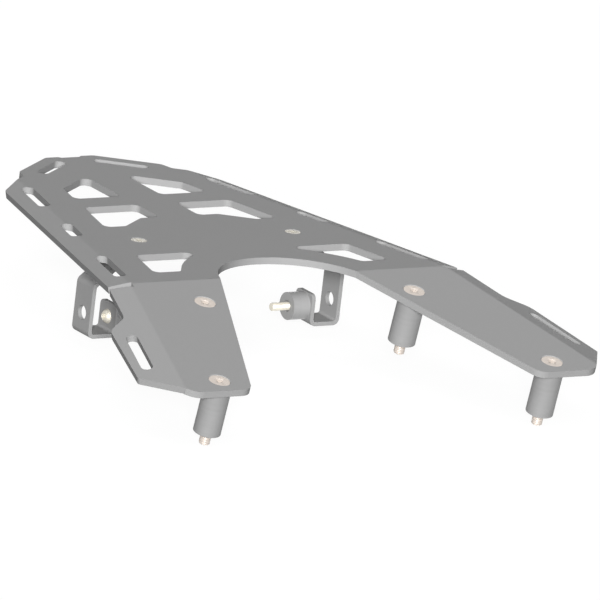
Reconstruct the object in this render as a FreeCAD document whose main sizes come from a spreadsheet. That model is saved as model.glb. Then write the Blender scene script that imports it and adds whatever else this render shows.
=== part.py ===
import FreeCAD, Part
import os
import Sketcher

# Motorcycle rear luggage rack: a bent aluminium plate that is screwed on four spacers and held
# by two brackets under its deck.
# The frame is in millimetres, +X to the right, +Y to the rear and +Z up. The origin lies on the
# top of the deck, on the centreline, midway between the two deck screws.

DRIVING_SIZES = {
    # Plate: thickness and bends
    "sheet_thickness": 5.0,
    "bend_inner_radius": 4.0,
    "arm_bend_angle": 12.0,
    "deck_flange_angle": 14.0,
    "arm_flange_angle": 15.0,
    # Deck outline
    "deck_length": 300.0,
    "front_half_width": 132.3,
    "side_taper": 13.4,
    "screws_behind_bend": 98.0,
    "rear_edge_half_width": 20.0,
    "chamfer_angle": 36.2,
    "corner_inset": 7.6,
    "corner_side_length": 10.8,
    "recess_half_width": 7.5,
    "recess_depth": 2.0,
    "relief_depth": 2.0,
    "outline_corner_radius": 7.0,
    "notch_corner_radius": 4.0,
    "deck_flange_width": 15.5,
    "deck_flange_setback": 2.0,
    "deck_flange_corner_radius": 8.0,
    # Mouth between the arms
    "mouth_radius": 58.5,
    "mouth_centre_ahead": 16.2,
    "arm_inner_angle": 22.2,
    # Arms and their outer flanges
    "arm_length": 157.5,
    "arm_inner_corner_radius": 10.0,
    "arm_outer_corner_radius": 13.0,
    "arm_taper": 14.7,
    "arm_chamfer_angle": 54.9,
    "arm_chamfer_setback": 7.09,
    "arm_flange_setback": 4.5,
    "neck_width": 15.8,
    "tab_length": 94.8,
    "tab_step_angle": 45.0,
    "tab_rear_width": 30.0,
    "tab_front_width": 28.5,
    "tab_rear_corner_radius": 12.0,
    "tab_front_corner_radius": 4.0,
    # Cut-outs of the deck, their Y from the front bend
    "window_corner_radius": 5.0,
    "window_inner_half_width": 16.4,
    "window_side_margin": 27.7,
    "rear_window_front": 200.5,
    "rear_window_outer_height": 25.5,
    "middle_window_front": 131.5,
    "middle_window_rear": 179.5,
    "middle_window_step": 148.2,
    "middle_window_step_half_width": 32.4,
    "middle_window_foot": 17.28,
    "front_window_front": 21.3,
    "front_window_crown_gap": 4.8,
    "front_window_margin": 26.0,
    # Slots
    "slot_width": 9.0,
    "rear_side_slot_length": 47.0,
    "rear_side_slot_centre": 217.0,
    "middle_side_slot_length": 30.0,
    "middle_side_slot_centre": 133.5,
    "front_side_slot_length": 50.0,
    "front_side_slot_centre": 43.5,
    "corner_slot_width": 8.5,
    "corner_slot_length": 40.0,
    "corner_slot_margin": 13.8,
    "corner_slot_along": 21.6,
    "arm_slot_width": 8.5,
    "arm_slot_length": 50.0,
    "arm_slot_setback": 58.5,
    "arm_slot_distance": 18.2,
    # Screws M8 in the arms and their spacers
    "arm_screw_diameter": 8.0,
    "arm_screw_length": 50.0,
    "arm_screw_head": 15.4,
    "arm_screw_hole": 9.0,
    "arm_countersink": 16.4,
    "arm_screw_socket": 5.0,
    "arm_screw_socket_depth": 3.0,
    "rear_screw_half_span": 87.6,
    "rear_screw_from_bend": 31.8,
    "front_screw_half_span": 139.0,
    "front_screw_setback": 15.3,
    "spacer_diameter": 20.0,
    "spacer_bore": 9.0,
    "spacer_length": 36.0,
    # Screws M6 in the deck, with washer and nut
    "deck_screw_diameter": 6.0,
    "deck_screw_length": 16.0,
    "deck_screw_head": 11.4,
    "deck_screw_hole": 6.6,
    "deck_countersink": 12.2,
    "deck_screw_socket": 4.0,
    "deck_screw_socket_depth": 2.2,
    "deck_screw_half_span": 64.6,
    "head_land": 0.2,
    "thread_chamfer": 0.8,
    "washer_diameter": 12.0,
    "washer_bore": 6.4,
    "washer_thickness": 1.6,
    "nut_across_flats": 10.0,
    "nut_hexagon_height": 4.6,
    "nut_collar_diameter": 8.6,
    "nut_height": 6.0,
    # Brackets
    "bracket_thickness": 3.0,
    "bracket_width": 22.0,
    "bracket_inner_radius": 2.0,
    "bracket_half_span": 105.5,
    "bracket_drop": 63.3,
    "knee_drop": 24.1,
    "web_angle": 39.0,
    "tongue_overhang": 11.5,
    "base_width": 24.7,
    "ear_height": 23.4,
    "ear_corner_radius": 4.0,
    "access_hole": 10.5,
    "access_hole_height": 16.6,
    "ear_hole": 6.6,
    "bolt_height": 12.8,
    # Button-head bolts M6 and bushes
    "bolt_diameter": 6.0,
    "bolt_length": 30.0,
    "bolt_head": 10.5,
    "bolt_head_height": 3.3,
    "bolt_crown_diameter": 5.6,
    "bolt_socket": 4.0,
    "bolt_socket_depth": 2.0,
    "bush_diameter": 20.0,
    "bush_bore": 8.5,
    "bush_length": 13.7,
}

doc = FreeCAD.newDocument("LuggageRack")
sheet = doc.addObject("Spreadsheet::Sheet", "Sizes")
for row, (alias, size) in enumerate(DRIVING_SIZES.items(), start=1):
    sheet.set(f"A{row}", alias.replace("_", " "))
    sheet.set(f"B{row}", str(size))
    sheet.setAlias(f"B{row}", alias)
doc.recompute()

# Places that several pieces share, as formulas of the sheet
FRONT_BEND_Y = "(-Sizes.screws_behind_bend)"
REAR_EDGE_Y = "(Sizes.deck_length - Sizes.screws_behind_bend)"
UNDERSIDE_Z = "(-Sizes.sheet_thickness)"
MIRROR = {"left": "-1", "right": "1"}

# A cut reaches this many thicknesses, half of them on each side of its sketch
REACH = 4
THROUGH = f"Sizes.sheet_thickness * {REACH}"


def value(formula):
    """Work out a formula of the sheet's aliases as a number."""
    return float(sheet.evalExpression(formula))


def vector(x="0", y="0", z="0"):
    """Write the formula of a vector."""
    return f"create(<<vector>>; {x}; {y}; {z})"


def turn(axis, angle):
    """Write the formula of a rotation about the X, Y or Z axis."""
    axes = {"X": vector("1"), "Y": vector("0", "1"), "Z": vector("0", "0", "1")}
    return f"create(<<rotation>>; {axes[axis]}; {angle})"


def place(x="0", y="0", z="0", *turns):
    """Write the formula of a placement: a place and the turns that are made there in order."""
    rotation = " * ".join(turns) if turns else turn("Z", "0")
    return f"create(<<placement>>; {vector(x, y, z)}; {rotation})"


def bend_x(y):
    """Half width of the deck between the side bends at a Y of the frame."""
    return f"(Sizes.front_half_width - (({y}) + Sizes.screws_behind_bend) * tan(Sizes.side_taper))"


def from_bend(distance):
    """Y of the frame for a distance behind the front bend."""
    return f"({distance} - Sizes.screws_behind_bend)"


# Sketches and features


def new_body(label):
    """Add a body whose label names its file."""
    body = doc.addObject("PartDesign::Body", label)
    body.Label = label
    return body


def origin_plane(body, role):
    """Find an origin plane of a body."""
    return next(item for item in body.Origin.OriginFeatures if item.Role == role)


def new_sketch(body, name, placement=None, role="XY_Plane"):
    """Add a sketch on an origin plane of the body, moved by a placement formula."""
    sketch = body.newObject("Sketcher::SketchObject", name)
    sketch.AttachmentSupport = [(origin_plane(body, role), "")]
    sketch.MapMode = "FlatFace"
    if placement:
        sketch.setExpression("AttachmentOffset", placement)
    return sketch


def bind(sketch, constraint, formula):
    """Add a constraint and bind its size to a formula."""
    index = sketch.addConstraint(constraint)
    sketch.setExpression(f"Constraints[{index}]", formula)


def draw_outline(sketch, corners, arcs=None):
    """Draw a closed outline.

    Each corner is a pair of formulas. An arc replaces the line that starts at its corner, and is
    given as the formulas of its centre and of a point that it passes.
    """
    arcs = arcs or {}
    points = [FreeCAD.Vector(value(x), value(y), 0) for x, y in corners]
    ends = []
    for index, start in enumerate(points):
        finish = points[(index + 1) % len(points)]
        if index in arcs:
            middle = FreeCAD.Vector(value(arcs[index][1][0]), value(arcs[index][1][1]), 0)
            edge = sketch.addGeometry(Part.Arc(start, middle, finish), False)
            forward = sketch.getPoint(edge, 1).distanceToPoint(start) < 1e-6
            ends.append((edge, 1, 2) if forward else (edge, 2, 1))
        else:
            edge = sketch.addGeometry(Part.LineSegment(start, finish), False)
            ends.append((edge, 1, 2))
    for index, (edge, first, _) in enumerate(ends):
        before, _, last = ends[index - 1]
        x, y = corners[index]
        sketch.addConstraint(Sketcher.Constraint("Coincident", before, last, edge, first))
        bind(sketch, Sketcher.Constraint("DistanceX", -1, 1, edge, first, value(x)), x)
        bind(sketch, Sketcher.Constraint("DistanceY", -1, 1, edge, first, value(y)), y)
    for index, (centre, _) in arcs.items():
        edge = ends[index][0]
        bind(sketch, Sketcher.Constraint("DistanceX", -1, 1, edge, 3, value(centre[0])), centre[0])


def draw_circle(sketch, x, y, diameter):
    """Draw a circle at a place given by formulas."""
    centre = FreeCAD.Vector(value(x), value(y), 0)
    circle = Part.Circle(centre, FreeCAD.Vector(0, 0, 1), value(diameter) / 2)
    edge = sketch.addGeometry(circle, False)
    bind(sketch, Sketcher.Constraint("DistanceX", -1, 1, edge, 3, centre.x), x)
    bind(sketch, Sketcher.Constraint("DistanceY", -1, 1, edge, 3, centre.y), y)
    bind(sketch, Sketcher.Constraint("Diameter", edge, value(diameter)), diameter)


def draw_slot(sketch, length, width):
    """Draw a slot with round ends along the sketch's Y axis, centred on its origin."""
    end = f"(({length}) - ({width})) / 2"
    side = f"({width}) / 2"
    corners = [
        (side, f"-({end})"),
        (side, end),
        (f"-({side})", end),
        (f"-({side})", f"-({end})"),
    ]
    arcs = {
        1: (("0", end), ("0", f"({length}) / 2")),
        3: (("0", f"-({end})"), ("0", f"-({length}) / 2")),
    }
    points = [FreeCAD.Vector(value(x), value(y), 0) for x, y in corners]
    tops = [FreeCAD.Vector(value(x), value(y), 0) for _, (x, y) in arcs.values()]
    right = sketch.addGeometry(Part.LineSegment(points[0], points[1]), False)
    far = sketch.addGeometry(Part.Arc(points[1], tops[0], points[2]), False)
    left = sketch.addGeometry(Part.LineSegment(points[2], points[3]), False)
    near = sketch.addGeometry(Part.Arc(points[3], tops[1], points[0]), False)
    for first, second in ((right, far), (far, left), (left, near), (near, right)):
        sketch.addConstraint(Sketcher.Constraint("Tangent", first, 2, second, 1))
    bind(sketch, Sketcher.Constraint("Radius", far, value(side)), side)
    for edge, sign in ((far, ""), (near, "-")):
        height = f"{sign}({end})"
        bind(sketch, Sketcher.Constraint("DistanceX", -1, 1, edge, 3, 0), "0")
        bind(sketch, Sketcher.Constraint("DistanceY", -1, 1, edge, 3, value(height)), height)


def draw_hexagon(sketch, across_flats):
    """Draw a regular hexagon about the sketch's origin."""
    reach = f"({across_flats} / sqrt(3))"
    angles = range(0, 360, 60)
    draw_outline(sketch, [(f"({reach} * cos({a}))", f"({reach} * sin({a}))") for a in angles])


def pad(body, name, sketch, length, reverse=False, midplane=False):
    """Add material along the sketch's normal."""
    feature = body.newObject("PartDesign::Pad", name)
    feature.Profile = sketch
    feature.Reversed = reverse
    feature.Midplane = midplane
    feature.setExpression("Length", length)
    doc.recompute()
    return feature


def cut(body, name, sketch, length):
    """Take material away on both sides of the sketch."""
    feature = body.newObject("PartDesign::Pocket", name)
    feature.Profile = sketch
    feature.Midplane = True
    feature.setExpression("Length", length)
    doc.recompute()
    return feature


def round_edges(body, name, radius, wanted):
    """Round the edges of the body's tip that a test accepts."""
    tip = body.Tip
    names = [f"Edge{number}" for number, edge in enumerate(tip.Shape.Edges, start=1) if wanted(edge)]
    if not names:
        raise ValueError(f"{name}: no edge to round")
    feature = body.newObject("PartDesign::Fillet", name)
    feature.Base = (tip, names)
    feature.setExpression("Radius", radius)
    doc.recompute()
    if feature.Shape.isNull():
        raise ValueError(f"{name}: the edges could not be rounded")
    return feature


def along(edge, direction):
    """Whether an edge is a straight line along a direction."""
    if not isinstance(edge.Curve, (Part.Line, Part.LineSegment)):
        return False
    return edge.tangentAt(edge.FirstParameter).cross(direction).Length < 1e-4


def line_distance(edge, point, direction):
    """Distance from an edge's middle to a line."""
    middle = edge.valueAt((edge.FirstParameter + edge.LastParameter) / 2)
    return (middle - point).cross(direction).Length


def corner_test(placement, corners):
    """Make a test for edges along the placement's Z at corners given by formulas."""
    spot = sheet.evalExpression(placement)
    direction = spot.Rotation.multVec(FreeCAD.Vector(0, 0, 1))
    points = [spot.multVec(FreeCAD.Vector(value(x), value(y), 0)) for x, y in corners]

    def wanted(edge):
        return along(edge, direction) and any(
            line_distance(edge, point, direction) < 1e-3 for point in points
        )

    return wanted


def bend_test(placement, bend_angle, top):
    """Make a test for the outer or the inner edge of a bend along the placement's Y."""
    spot = sheet.evalExpression(placement)
    direction = spot.Rotation.multVec(FreeCAD.Vector(0, 1, 0))
    distance = 0.0 if top else value(f"Sizes.sheet_thickness / cos(({bend_angle}) / 2)")

    def wanted(edge):
        return along(edge, direction) and abs(
            line_distance(edge, spot.Base, direction) - distance
        ) < 1e-3

    return wanted


# Plate: its right half, then the mirror image

DECK_PLANE = place()
ARM_TURN = turn("X", "Sizes.arm_bend_angle")
ARM_PLANE = place("0", FRONT_BEND_Y, "0", ARM_TURN)

MOUTH_Y = f"({FRONT_BEND_Y} - Sizes.mouth_centre_ahead)"
MOUTH_TANGENT = (
    "(Sizes.mouth_radius * cos(Sizes.arm_inner_angle))",
    f"({MOUTH_Y} + Sizes.mouth_radius * sin(Sizes.arm_inner_angle))",
)
MOUTH_BEND_X = (
    "(Sizes.mouth_radius / cos(Sizes.arm_inner_angle)"
    " - Sizes.mouth_centre_ahead * tan(Sizes.arm_inner_angle))"
)

# The rear corner: a chamfer, a short side inside the bend, and a slanted edge over the bend
INSET_X = "Sizes.corner_inset / cos(Sizes.side_taper)"
CHAMFER_RUN = (
    f"(({bend_x(REAR_EDGE_Y)} - {INSET_X} - Sizes.rear_edge_half_width)"
    " / (cos(Sizes.chamfer_angle) - sin(Sizes.chamfer_angle) * tan(Sizes.side_taper)))"
)
CORNER = (
    f"(Sizes.rear_edge_half_width + {CHAMFER_RUN} * cos(Sizes.chamfer_angle))",
    f"({REAR_EDGE_Y} - {CHAMFER_RUN} * sin(Sizes.chamfer_angle))",
)
NOTCH = (
    f"({CORNER[0]} + Sizes.corner_side_length * sin(Sizes.side_taper))",
    f"({CORNER[1]} - Sizes.corner_side_length * cos(Sizes.side_taper))",
)
SLANT_RUN = "(Sizes.corner_inset / cos(Sizes.side_taper + Sizes.chamfer_angle))"
SLANT_END_Y = f"({NOTCH[1]} - {SLANT_RUN} * sin(Sizes.chamfer_angle))"
SLANT_END = (bend_x(SLANT_END_Y), SLANT_END_Y)

# The relief notch at the end of the front bend, between the two flanges
RELIEF_X = "(Sizes.front_half_width - Sizes.relief_depth / cos(Sizes.side_taper))"
DECK_FLANGE_START = (
    "(Sizes.front_half_width - Sizes.deck_flange_setback * sin(Sizes.side_taper))",
    f"({FRONT_BEND_Y} + Sizes.deck_flange_setback * cos(Sizes.side_taper))",
)
DECK_RELIEF = (
    f"({DECK_FLANGE_START[0]} - Sizes.relief_depth * cos(Sizes.side_taper))",
    f"({DECK_FLANGE_START[1]} - Sizes.relief_depth * sin(Sizes.side_taper))",
)

DECK_CORNERS = [
    ("0", f"({MOUTH_Y} + Sizes.mouth_radius)"),
    MOUTH_TANGENT,
    (MOUTH_BEND_X, FRONT_BEND_Y),
    (RELIEF_X, FRONT_BEND_Y),
    DECK_RELIEF,
    DECK_FLANGE_START,
    SLANT_END,
    NOTCH,
    CORNER,
    ("Sizes.rear_edge_half_width", REAR_EDGE_Y),
    ("(Sizes.recess_half_width + Sizes.recess_depth)", REAR_EDGE_Y),
    ("Sizes.recess_half_width", f"({REAR_EDGE_Y} - Sizes.recess_depth)"),
    ("0", f"({REAR_EDGE_Y} - Sizes.recess_depth)"),
]
MOUTH_ARC = {
    0: (
        ("0", MOUTH_Y),
        (
            "(Sizes.mouth_radius * sin((90 - Sizes.arm_inner_angle) / 2))",
            f"({MOUTH_Y} + Sizes.mouth_radius * cos((90 - Sizes.arm_inner_angle) / 2))",
        ),
    )
}

# Flange of the deck: X outwards and Y to the rear along the bend
DECK_BEND = place("Sizes.front_half_width", FRONT_BEND_Y, "0", turn("Z", "Sizes.side_taper"))
DECK_FLANGE_PLANE = place(
    "Sizes.front_half_width",
    FRONT_BEND_Y,
    "0",
    turn("Z", "Sizes.side_taper"),
    turn("Y", "Sizes.deck_flange_angle"),
)
FLANGE_REAR = f"(({SLANT_END_Y} + Sizes.screws_behind_bend) / cos(Sizes.side_taper))"
FLANGE_SLOPE = "tan(Sizes.side_taper + Sizes.chamfer_angle)"
DECK_FLANGE_CORNERS = [
    ("0", "Sizes.deck_flange_setback"),
    ("Sizes.deck_flange_width", "Sizes.deck_flange_setback"),
    ("Sizes.deck_flange_width", f"({FLANGE_REAR} - Sizes.deck_flange_width * {FLANGE_SLOPE})"),
    ("0", FLANGE_REAR),
]

# Arm: X to the right and -Y to the front along the arm
CHAMFER_START = "((Sizes.arm_length - Sizes.arm_chamfer_setback) / cos(Sizes.arm_taper))"
CHAMFER_BEND = (
    f"(Sizes.front_half_width + {CHAMFER_START} * sin(Sizes.arm_taper))",
    "(Sizes.arm_chamfer_setback - Sizes.arm_length)",
)
ARM_FRONT_CORNER = (
    f"({CHAMFER_BEND[0]} - Sizes.arm_chamfer_setback / tan(Sizes.arm_chamfer_angle))",
    "(-Sizes.arm_length)",
)
ARM_INNER_CORNER = (
    f"({MOUTH_BEND_X} + Sizes.arm_length * tan(Sizes.arm_inner_angle))",
    "(-Sizes.arm_length)",
)
ARM_FLANGE_START = (
    "(Sizes.front_half_width + Sizes.arm_flange_setback * sin(Sizes.arm_taper))",
    "(-Sizes.arm_flange_setback * cos(Sizes.arm_taper))",
)
ARM_RELIEF = (
    f"({ARM_FLANGE_START[0]} - Sizes.relief_depth * cos(Sizes.arm_taper))",
    f"({ARM_FLANGE_START[1]} - Sizes.relief_depth * sin(Sizes.arm_taper))",
)
ARM_CORNERS = [
    (MOUTH_BEND_X, "0"),
    ARM_INNER_CORNER,
    ARM_FRONT_CORNER,
    CHAMFER_BEND,
    ARM_FLANGE_START,
    ARM_RELIEF,
    (RELIEF_X, "0"),
]

# Flange of the arm: X outwards and -Y to the front along the bend
ARM_BEND_TURNS = (ARM_TURN, turn("Z", "Sizes.arm_taper"))
ARM_BEND = place("Sizes.front_half_width", FRONT_BEND_Y, "0", *ARM_BEND_TURNS)
ARM_FLANGE_TURNS = (*ARM_BEND_TURNS, turn("Y", "Sizes.arm_flange_angle"))
ARM_FLANGE_PLANE = place("Sizes.front_half_width", FRONT_BEND_Y, "0", *ARM_FLANGE_TURNS)
TAB_REAR = f"({CHAMFER_START} - Sizes.tab_length)"
TAB_STEP = "(Sizes.tab_rear_width - Sizes.neck_width) / tan(Sizes.tab_step_angle)"
TAB_FRONT = (
    f"({CHAMFER_START}"
    " - Sizes.tab_front_width * tan(Sizes.arm_chamfer_angle - Sizes.arm_taper))"
)
ARM_FLANGE_CORNERS = [
    ("0", "(-Sizes.arm_flange_setback)"),
    ("0", f"(-{CHAMFER_START})"),
    ("Sizes.tab_front_width", f"(-{TAB_FRONT})"),
    ("Sizes.tab_rear_width", f"(-{TAB_REAR})"),
    ("Sizes.neck_width", f"({TAB_STEP} - {TAB_REAR})"),
    ("Sizes.neck_width", "(-Sizes.arm_flange_setback)"),
]

OUTER_RADIUS = "Sizes.bend_inner_radius + Sizes.sheet_thickness"

# Half span of each pair of arm screws, and their distance from the front bend
ARM_SCREWS = {
    "front": ("Sizes.front_screw_half_span", "(Sizes.arm_length - Sizes.front_screw_setback)"),
    "rear": ("Sizes.rear_screw_half_span", "Sizes.rear_screw_from_bend"),
}


def make_plate_blank(body):
    """Pad the deck, the arm and their flanges, and round the bends."""
    regions = (
        ("Deck", DECK_PLANE, DECK_CORNERS, MOUTH_ARC),
        ("DeckFlange", DECK_FLANGE_PLANE, DECK_FLANGE_CORNERS, None),
        ("Arm", ARM_PLANE, ARM_CORNERS, None),
        ("ArmFlange", ARM_FLANGE_PLANE, ARM_FLANGE_CORNERS, None),
    )
    for name, plane, corners, arcs in regions:
        sketch = new_sketch(body, f"{name}Outline", plane)
        draw_outline(sketch, corners, arcs)
        pad(body, name, sketch, "Sizes.sheet_thickness", reverse=True)
    front_bend = place("0", FRONT_BEND_Y, "0", turn("Z", "90"))
    bends = (
        ("FrontBend", front_bend, "Sizes.arm_bend_angle"),
        ("DeckFlangeBend", DECK_BEND, "Sizes.deck_flange_angle"),
        ("ArmFlangeBend", ARM_BEND, "Sizes.arm_flange_angle"),
    )
    for name, line, angle in bends:
        round_edges(body, f"{name}Outer", OUTER_RADIUS, bend_test(line, angle, True))
        round_edges(body, f"{name}Inner", "Sizes.bend_inner_radius", bend_test(line, angle, False))


def round_plate_corners(body):
    """Round the corners of the plate's outline."""
    groups = (
        ("DeckCorners", DECK_PLANE, [CORNER, DECK_CORNERS[9]], "outline_corner_radius"),
        ("NotchCorner", DECK_PLANE, [NOTCH], "notch_corner_radius"),
        ("FlangeCorner", DECK_FLANGE_PLANE, [DECK_FLANGE_CORNERS[2]], "deck_flange_corner_radius"),
        ("ArmInnerCorner", ARM_PLANE, [ARM_INNER_CORNER], "arm_inner_corner_radius"),
        ("ArmOuterCorner", ARM_PLANE, [ARM_FRONT_CORNER], "arm_outer_corner_radius"),
        ("TabFrontCorner", ARM_FLANGE_PLANE, [ARM_FLANGE_CORNERS[2]], "tab_front_corner_radius"),
        ("TabRearCorner", ARM_FLANGE_PLANE, [ARM_FLANGE_CORNERS[3]], "tab_rear_corner_radius"),
        ("NeckCorner", ARM_FLANGE_PLANE, [ARM_FLANGE_CORNERS[4]], "tab_rear_corner_radius"),
    )
    for name, plane, corners, radius in groups:
        round_edges(body, name, f"Sizes.{radius}", corner_test(plane, corners))


def cut_windows(body):
    """Cut the deck's windows and round their corners."""
    def side(distance):
        """Outer edge of the windows, parallel to the side bend."""
        return f"({bend_x(from_bend(distance))} - Sizes.window_side_margin / cos(Sizes.side_taper))"

    inner = "Sizes.window_inner_half_width"
    rear_outer = "(Sizes.rear_window_front + Sizes.rear_window_outer_height)"
    rear_outer_x = side(rear_outer)
    rear_inner = f"({rear_outer} + ({rear_outer_x} - {inner}) * tan(Sizes.chamfer_angle))"
    step = ("Sizes.middle_window_step_half_width", from_bend("Sizes.middle_window_step"))
    foot = f"({side('Sizes.middle_window_front')} - Sizes.middle_window_foot)"
    radius = "(Sizes.mouth_radius + Sizes.front_window_margin)"

    def mouth_x(distance):
        """X of the curve that follows the mouth, at a distance behind the front bend."""
        return f"sqrt({radius}^2 - ({distance} + Sizes.mouth_centre_ahead)^2)"

    front_rear = f"({radius} - Sizes.mouth_centre_ahead - Sizes.front_window_crown_gap)"
    halfway = f"((Sizes.front_window_front + {front_rear}) / 2)"
    windows = (
        (
            "RearWindow",
            [
                (inner, from_bend("Sizes.rear_window_front")),
                (side("Sizes.rear_window_front"), from_bend("Sizes.rear_window_front")),
                (rear_outer_x, from_bend(rear_outer)),
                (inner, from_bend(rear_inner)),
            ],
            None,
        ),
        (
            "MiddleWindow",
            [
                (inner, step[1]),
                step,
                (foot, from_bend("Sizes.middle_window_front")),
                (side("Sizes.middle_window_front"), from_bend("Sizes.middle_window_front")),
                (side("Sizes.middle_window_rear"), from_bend("Sizes.middle_window_rear")),
                (inner, from_bend("Sizes.middle_window_rear")),
            ],
            None,
        ),
        (
            "FrontWindow",
            [
                (mouth_x("Sizes.front_window_front"), from_bend("Sizes.front_window_front")),
                (side("Sizes.front_window_front"), from_bend("Sizes.front_window_front")),
                (side(front_rear), from_bend(front_rear)),
                (mouth_x(front_rear), from_bend(front_rear)),
            ],
            {3: (("0", MOUTH_Y), (mouth_x(halfway), from_bend(halfway)))},
        ),
    )
    for name, corners, arcs in windows:
        sketch = new_sketch(body, f"{name}Outline", DECK_PLANE)
        draw_outline(sketch, corners, arcs)
        cut(body, name, sketch, THROUGH)
        test = corner_test(DECK_PLANE, corners)
        round_edges(body, f"{name}Corners", "Sizes.window_corner_radius", test)


def cut_slots(body):
    """Cut the slots on the side bend, in the rear corner and in the arm's tab."""
    for where in ("Rear", "Middle", "Front"):
        size = f"Sizes.{where.lower()}_side_slot"
        plane = place(
            f"(Sizes.front_half_width - {size}_centre * sin(Sizes.side_taper))",
            f"({FRONT_BEND_Y} + {size}_centre * cos(Sizes.side_taper))",
            "0",
            turn("Z", "Sizes.side_taper"),
            turn("Y", "Sizes.deck_flange_angle / 2"),
        )
        sketch = new_sketch(body, f"{where}SideSlotOutline", plane)
        draw_slot(sketch, f"{size}_length", "Sizes.slot_width")
        cut(body, f"{where}SideSlot", sketch, THROUGH)

    # The corner slot runs along the chamfer
    along_x = "Sizes.corner_slot_along * cos(Sizes.chamfer_angle)"
    along_y = "Sizes.corner_slot_along * sin(Sizes.chamfer_angle)"
    in_x = "Sizes.corner_slot_margin * sin(Sizes.chamfer_angle)"
    in_y = "Sizes.corner_slot_margin * cos(Sizes.chamfer_angle)"
    plane = place(
        f"(Sizes.rear_edge_half_width + {along_x} - {in_x})",
        f"({REAR_EDGE_Y} - {along_y} - {in_y})",
        "0",
        turn("Z", "90 - Sizes.chamfer_angle"),
    )
    sketch = new_sketch(body, "CornerSlotOutline", plane)
    draw_slot(sketch, "Sizes.corner_slot_length", "Sizes.corner_slot_width")
    cut(body, "CornerSlot", sketch, THROUGH)

    # The tab's slot lies in the flange's plane, beside the bend
    slot_y = f"(Sizes.arm_slot_setback - {CHAMFER_START})"
    plane = ARM_FLANGE_PLANE + " * " + place("Sizes.arm_slot_distance", slot_y)
    sketch = new_sketch(body, "ArmSlotOutline", plane)
    draw_slot(sketch, "Sizes.arm_slot_length", "Sizes.arm_slot_width")
    cut(body, "ArmSlot", sketch, THROUGH)


def drill(body, name, plane, x, y, hole, countersink):
    """Drill a countersunk hole from the top of a region of the plate."""
    sketch = new_sketch(body, f"{name}Centre", plane)
    draw_circle(sketch, x, y, hole)
    doc.recompute()
    feature = body.newObject("PartDesign::Hole", name)
    feature.Profile = sketch
    feature.DepthType = "Dimension"
    feature.DrillPoint = "Flat"
    feature.HoleCutType = "Countersink"
    feature.HoleCutCustomValues = True
    feature.setExpression("Diameter", hole)
    feature.setExpression("HoleCutDiameter", countersink)
    feature.HoleCutCountersinkAngle = 90
    feature.setExpression("Depth", THROUGH)
    doc.recompute()
    return feature


def make_plate():
    """Make the bent plate."""
    body = new_body("rack_plate")
    make_plate_blank(body)
    round_plate_corners(body)
    cut_windows(body)
    cut_slots(body)
    drill(
        body, "DeckScrewHole", DECK_PLANE, "Sizes.deck_screw_half_span", "0",
        "Sizes.deck_screw_hole", "Sizes.deck_countersink",
    )
    for end, (half_span, distance) in ARM_SCREWS.items():
        drill(
            body, f"{end.capitalize()}ScrewHole", ARM_PLANE, half_span, f"-{distance}",
            "Sizes.arm_screw_hole", "Sizes.arm_countersink",
        )
    mirror = body.newObject("PartDesign::Mirrored", "OtherHalf")
    mirror.TransformMode = "Whole shape"
    mirror.MirrorPlane = (origin_plane(body, "YZ_Plane"), [""])
    mirror.Refine = True
    body.Tip = mirror
    doc.recompute()
    return body


# Spacers, bushes and washers: rings


def make_ring(label, placement, diameter, bore, height):
    """Make a plain ring that rises from its placement."""
    outside = doc.addObject("Part::Cylinder", f"{label}_outside")
    inside = doc.addObject("Part::Cylinder", f"{label}_bore")
    for cylinder, size in ((outside, diameter), (inside, bore)):
        cylinder.setExpression("Radius", f"{size} / 2")
        cylinder.setExpression("Height", height)
        cylinder.setExpression("Placement", placement)
    ring = doc.addObject("Part::Cut", label)
    ring.Base = outside
    ring.Tool = inside
    ring.Label = label
    doc.recompute()
    return ring


# Screws: turned bodies with a hexagon socket, their heads at the origin and their tips down


def make_turned_body(label, placement, profile, arcs=None):
    """Revolve a profile, drawn as radius and height, about the body's Z axis."""
    body = new_body(label)
    sketch = new_sketch(body, f"{label}_profile", role="XZ_Plane")
    draw_outline(sketch, profile, arcs)
    feature = body.newObject("PartDesign::Revolution", f"{label}_turned")
    feature.Profile = sketch
    feature.ReferenceAxis = (origin_plane(body, "Z_Axis"), [""])
    feature.Angle = 360
    body.setExpression("Placement", placement)
    doc.recompute()
    return body


def sink_socket(body, top, across_flats, depth):
    """Sink a hexagon socket from the top of a screw's head."""
    sketch = new_sketch(body, f"{body.Label}_hexagon", place("0", "0", top))
    draw_hexagon(sketch, across_flats)
    cut(body, f"{body.Label}_socket", sketch, f"{depth} * 2")


def make_countersunk_screw(label, placement, kind):
    """Make a countersunk screw that fills its hole's countersink up to its head's land."""
    size = f"Sizes.{kind}_screw"
    head = f"({size}_head / 2)"
    shank = f"({size}_diameter / 2)"
    tip = f"(-{size}_length)"
    profile = [
        ("0", "0"),
        (head, "0"),
        (head, "(-Sizes.head_land)"),
        (shank, f"(-Sizes.head_land - {head} + {shank})"),
        (shank, f"({tip} + Sizes.thread_chamfer)"),
        (f"({shank} - Sizes.thread_chamfer)", tip),
        ("0", tip),
    ]
    body = make_turned_body(label, placement, profile)
    sink_socket(body, "0", f"{size}_socket", f"{size}_socket_depth")
    return body


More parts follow.
